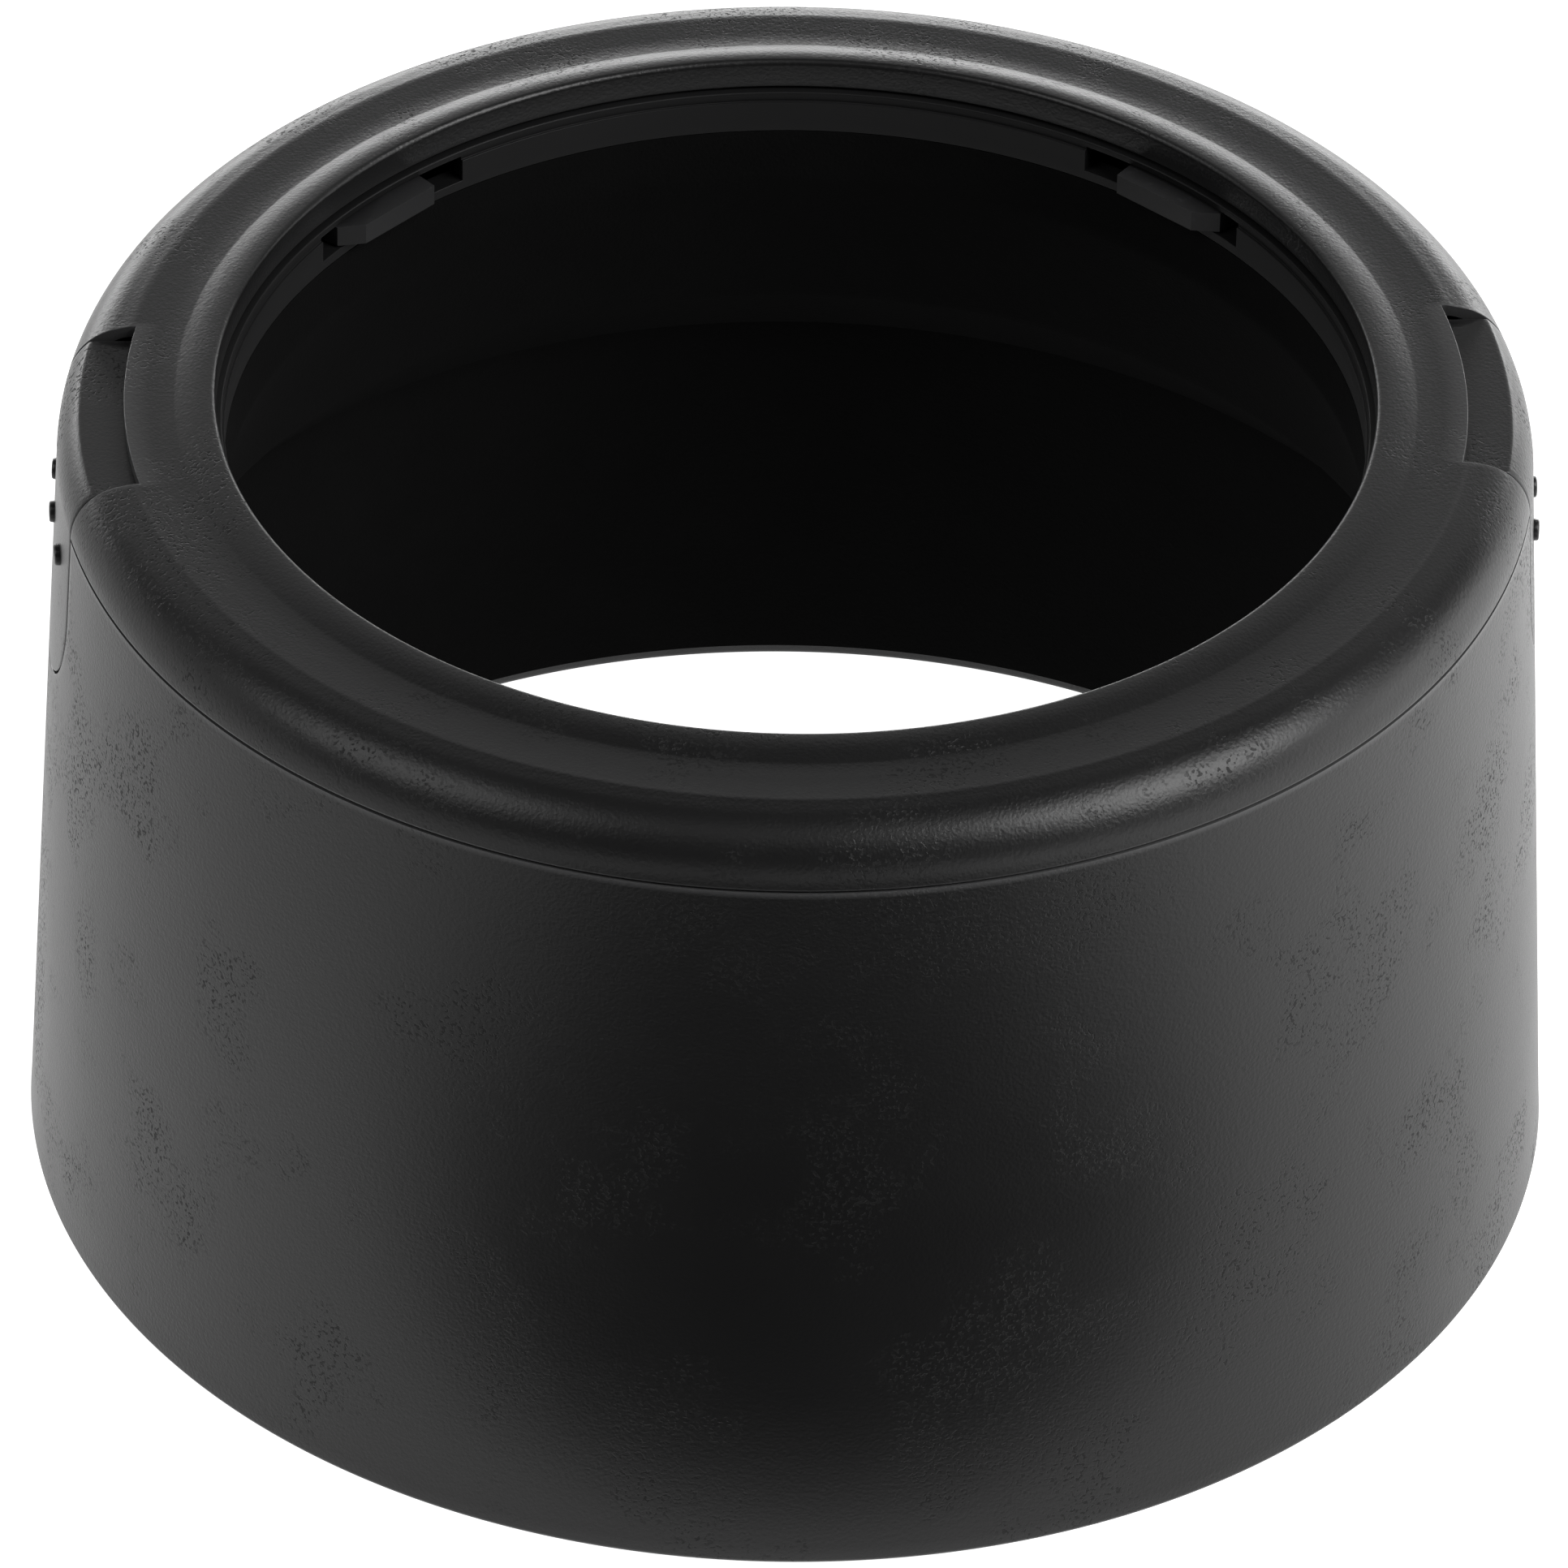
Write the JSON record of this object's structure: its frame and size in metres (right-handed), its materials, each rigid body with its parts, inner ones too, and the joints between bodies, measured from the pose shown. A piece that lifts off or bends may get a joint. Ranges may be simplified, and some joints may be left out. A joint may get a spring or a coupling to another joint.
{
  "type": "lens hood",
  "caption": "Clip-on lens hood with a tapered barrel, a rounded mount cap and sprung side buttons that draw claws out of the bore.",
  "frame": {"origin": "centre of the front rim, on the plane that the hood stands on", "axes": "+Z along the optical axis from the front rim towards the mount end; the two buttons lie on +X and -X"},
  "size_m": [0.0892, 0.0892, 0.0506],
  "materials": {
    "grained_plastic": "black moulded plastic with a fine spark-eroded grain",
    "plain_plastic": "black moulded plastic, smoother than the outside",
    "yoke_plastic": "dark low-friction moulded plastic",
    "flock": "dead-black flocked lining",
    "spring_steel": "drawn spring wire",
    "screw_steel": "blackened steel"
  },
  "bodies": {
    "hood": {"barrel": "grained_plastic", "mount_cap": "grained_plastic", "claw_ring": "plain_plastic", "rear_lining": "flock", "front_lining": "flock", "right_spring_1": "spring_steel", "right_spring_2": "spring_steel", "left_spring_1": "spring_steel", "left_spring_2": "spring_steel", "cap_screw_1": "screw_steel", "cap_screw_2": "screw_steel", "cap_screw_3": "screw_steel", "cap_screw_4": "screw_steel"},
    "right_release": {"lower_yoke": "yoke_plastic", "right_button": "grained_plastic", "right_button_screw": "screw_steel"},
    "left_release": {"upper_yoke": "yoke_plastic", "left_button": "grained_plastic", "left_button_screw": "screw_steel"}
  },
  "joints": [
    {"name": "right_press", "type": "slide", "parent": "hood", "child": "right_release", "axis": [-1, 0, 0], "range_m": [0, 0.0018], "stiffness_N_per_m": 800, "springref_m": -0.0025, "deforming": ["right_spring_1", "right_spring_2"]},
    {"name": "left_press", "type": "slide", "parent": "hood", "child": "left_release", "axis": [1, 0, 0], "range_m": [0, 0.0018], "stiffness_N_per_m": 800, "springref_m": -0.0025, "deforming": ["left_spring_1", "left_spring_2"]}
  ]
}
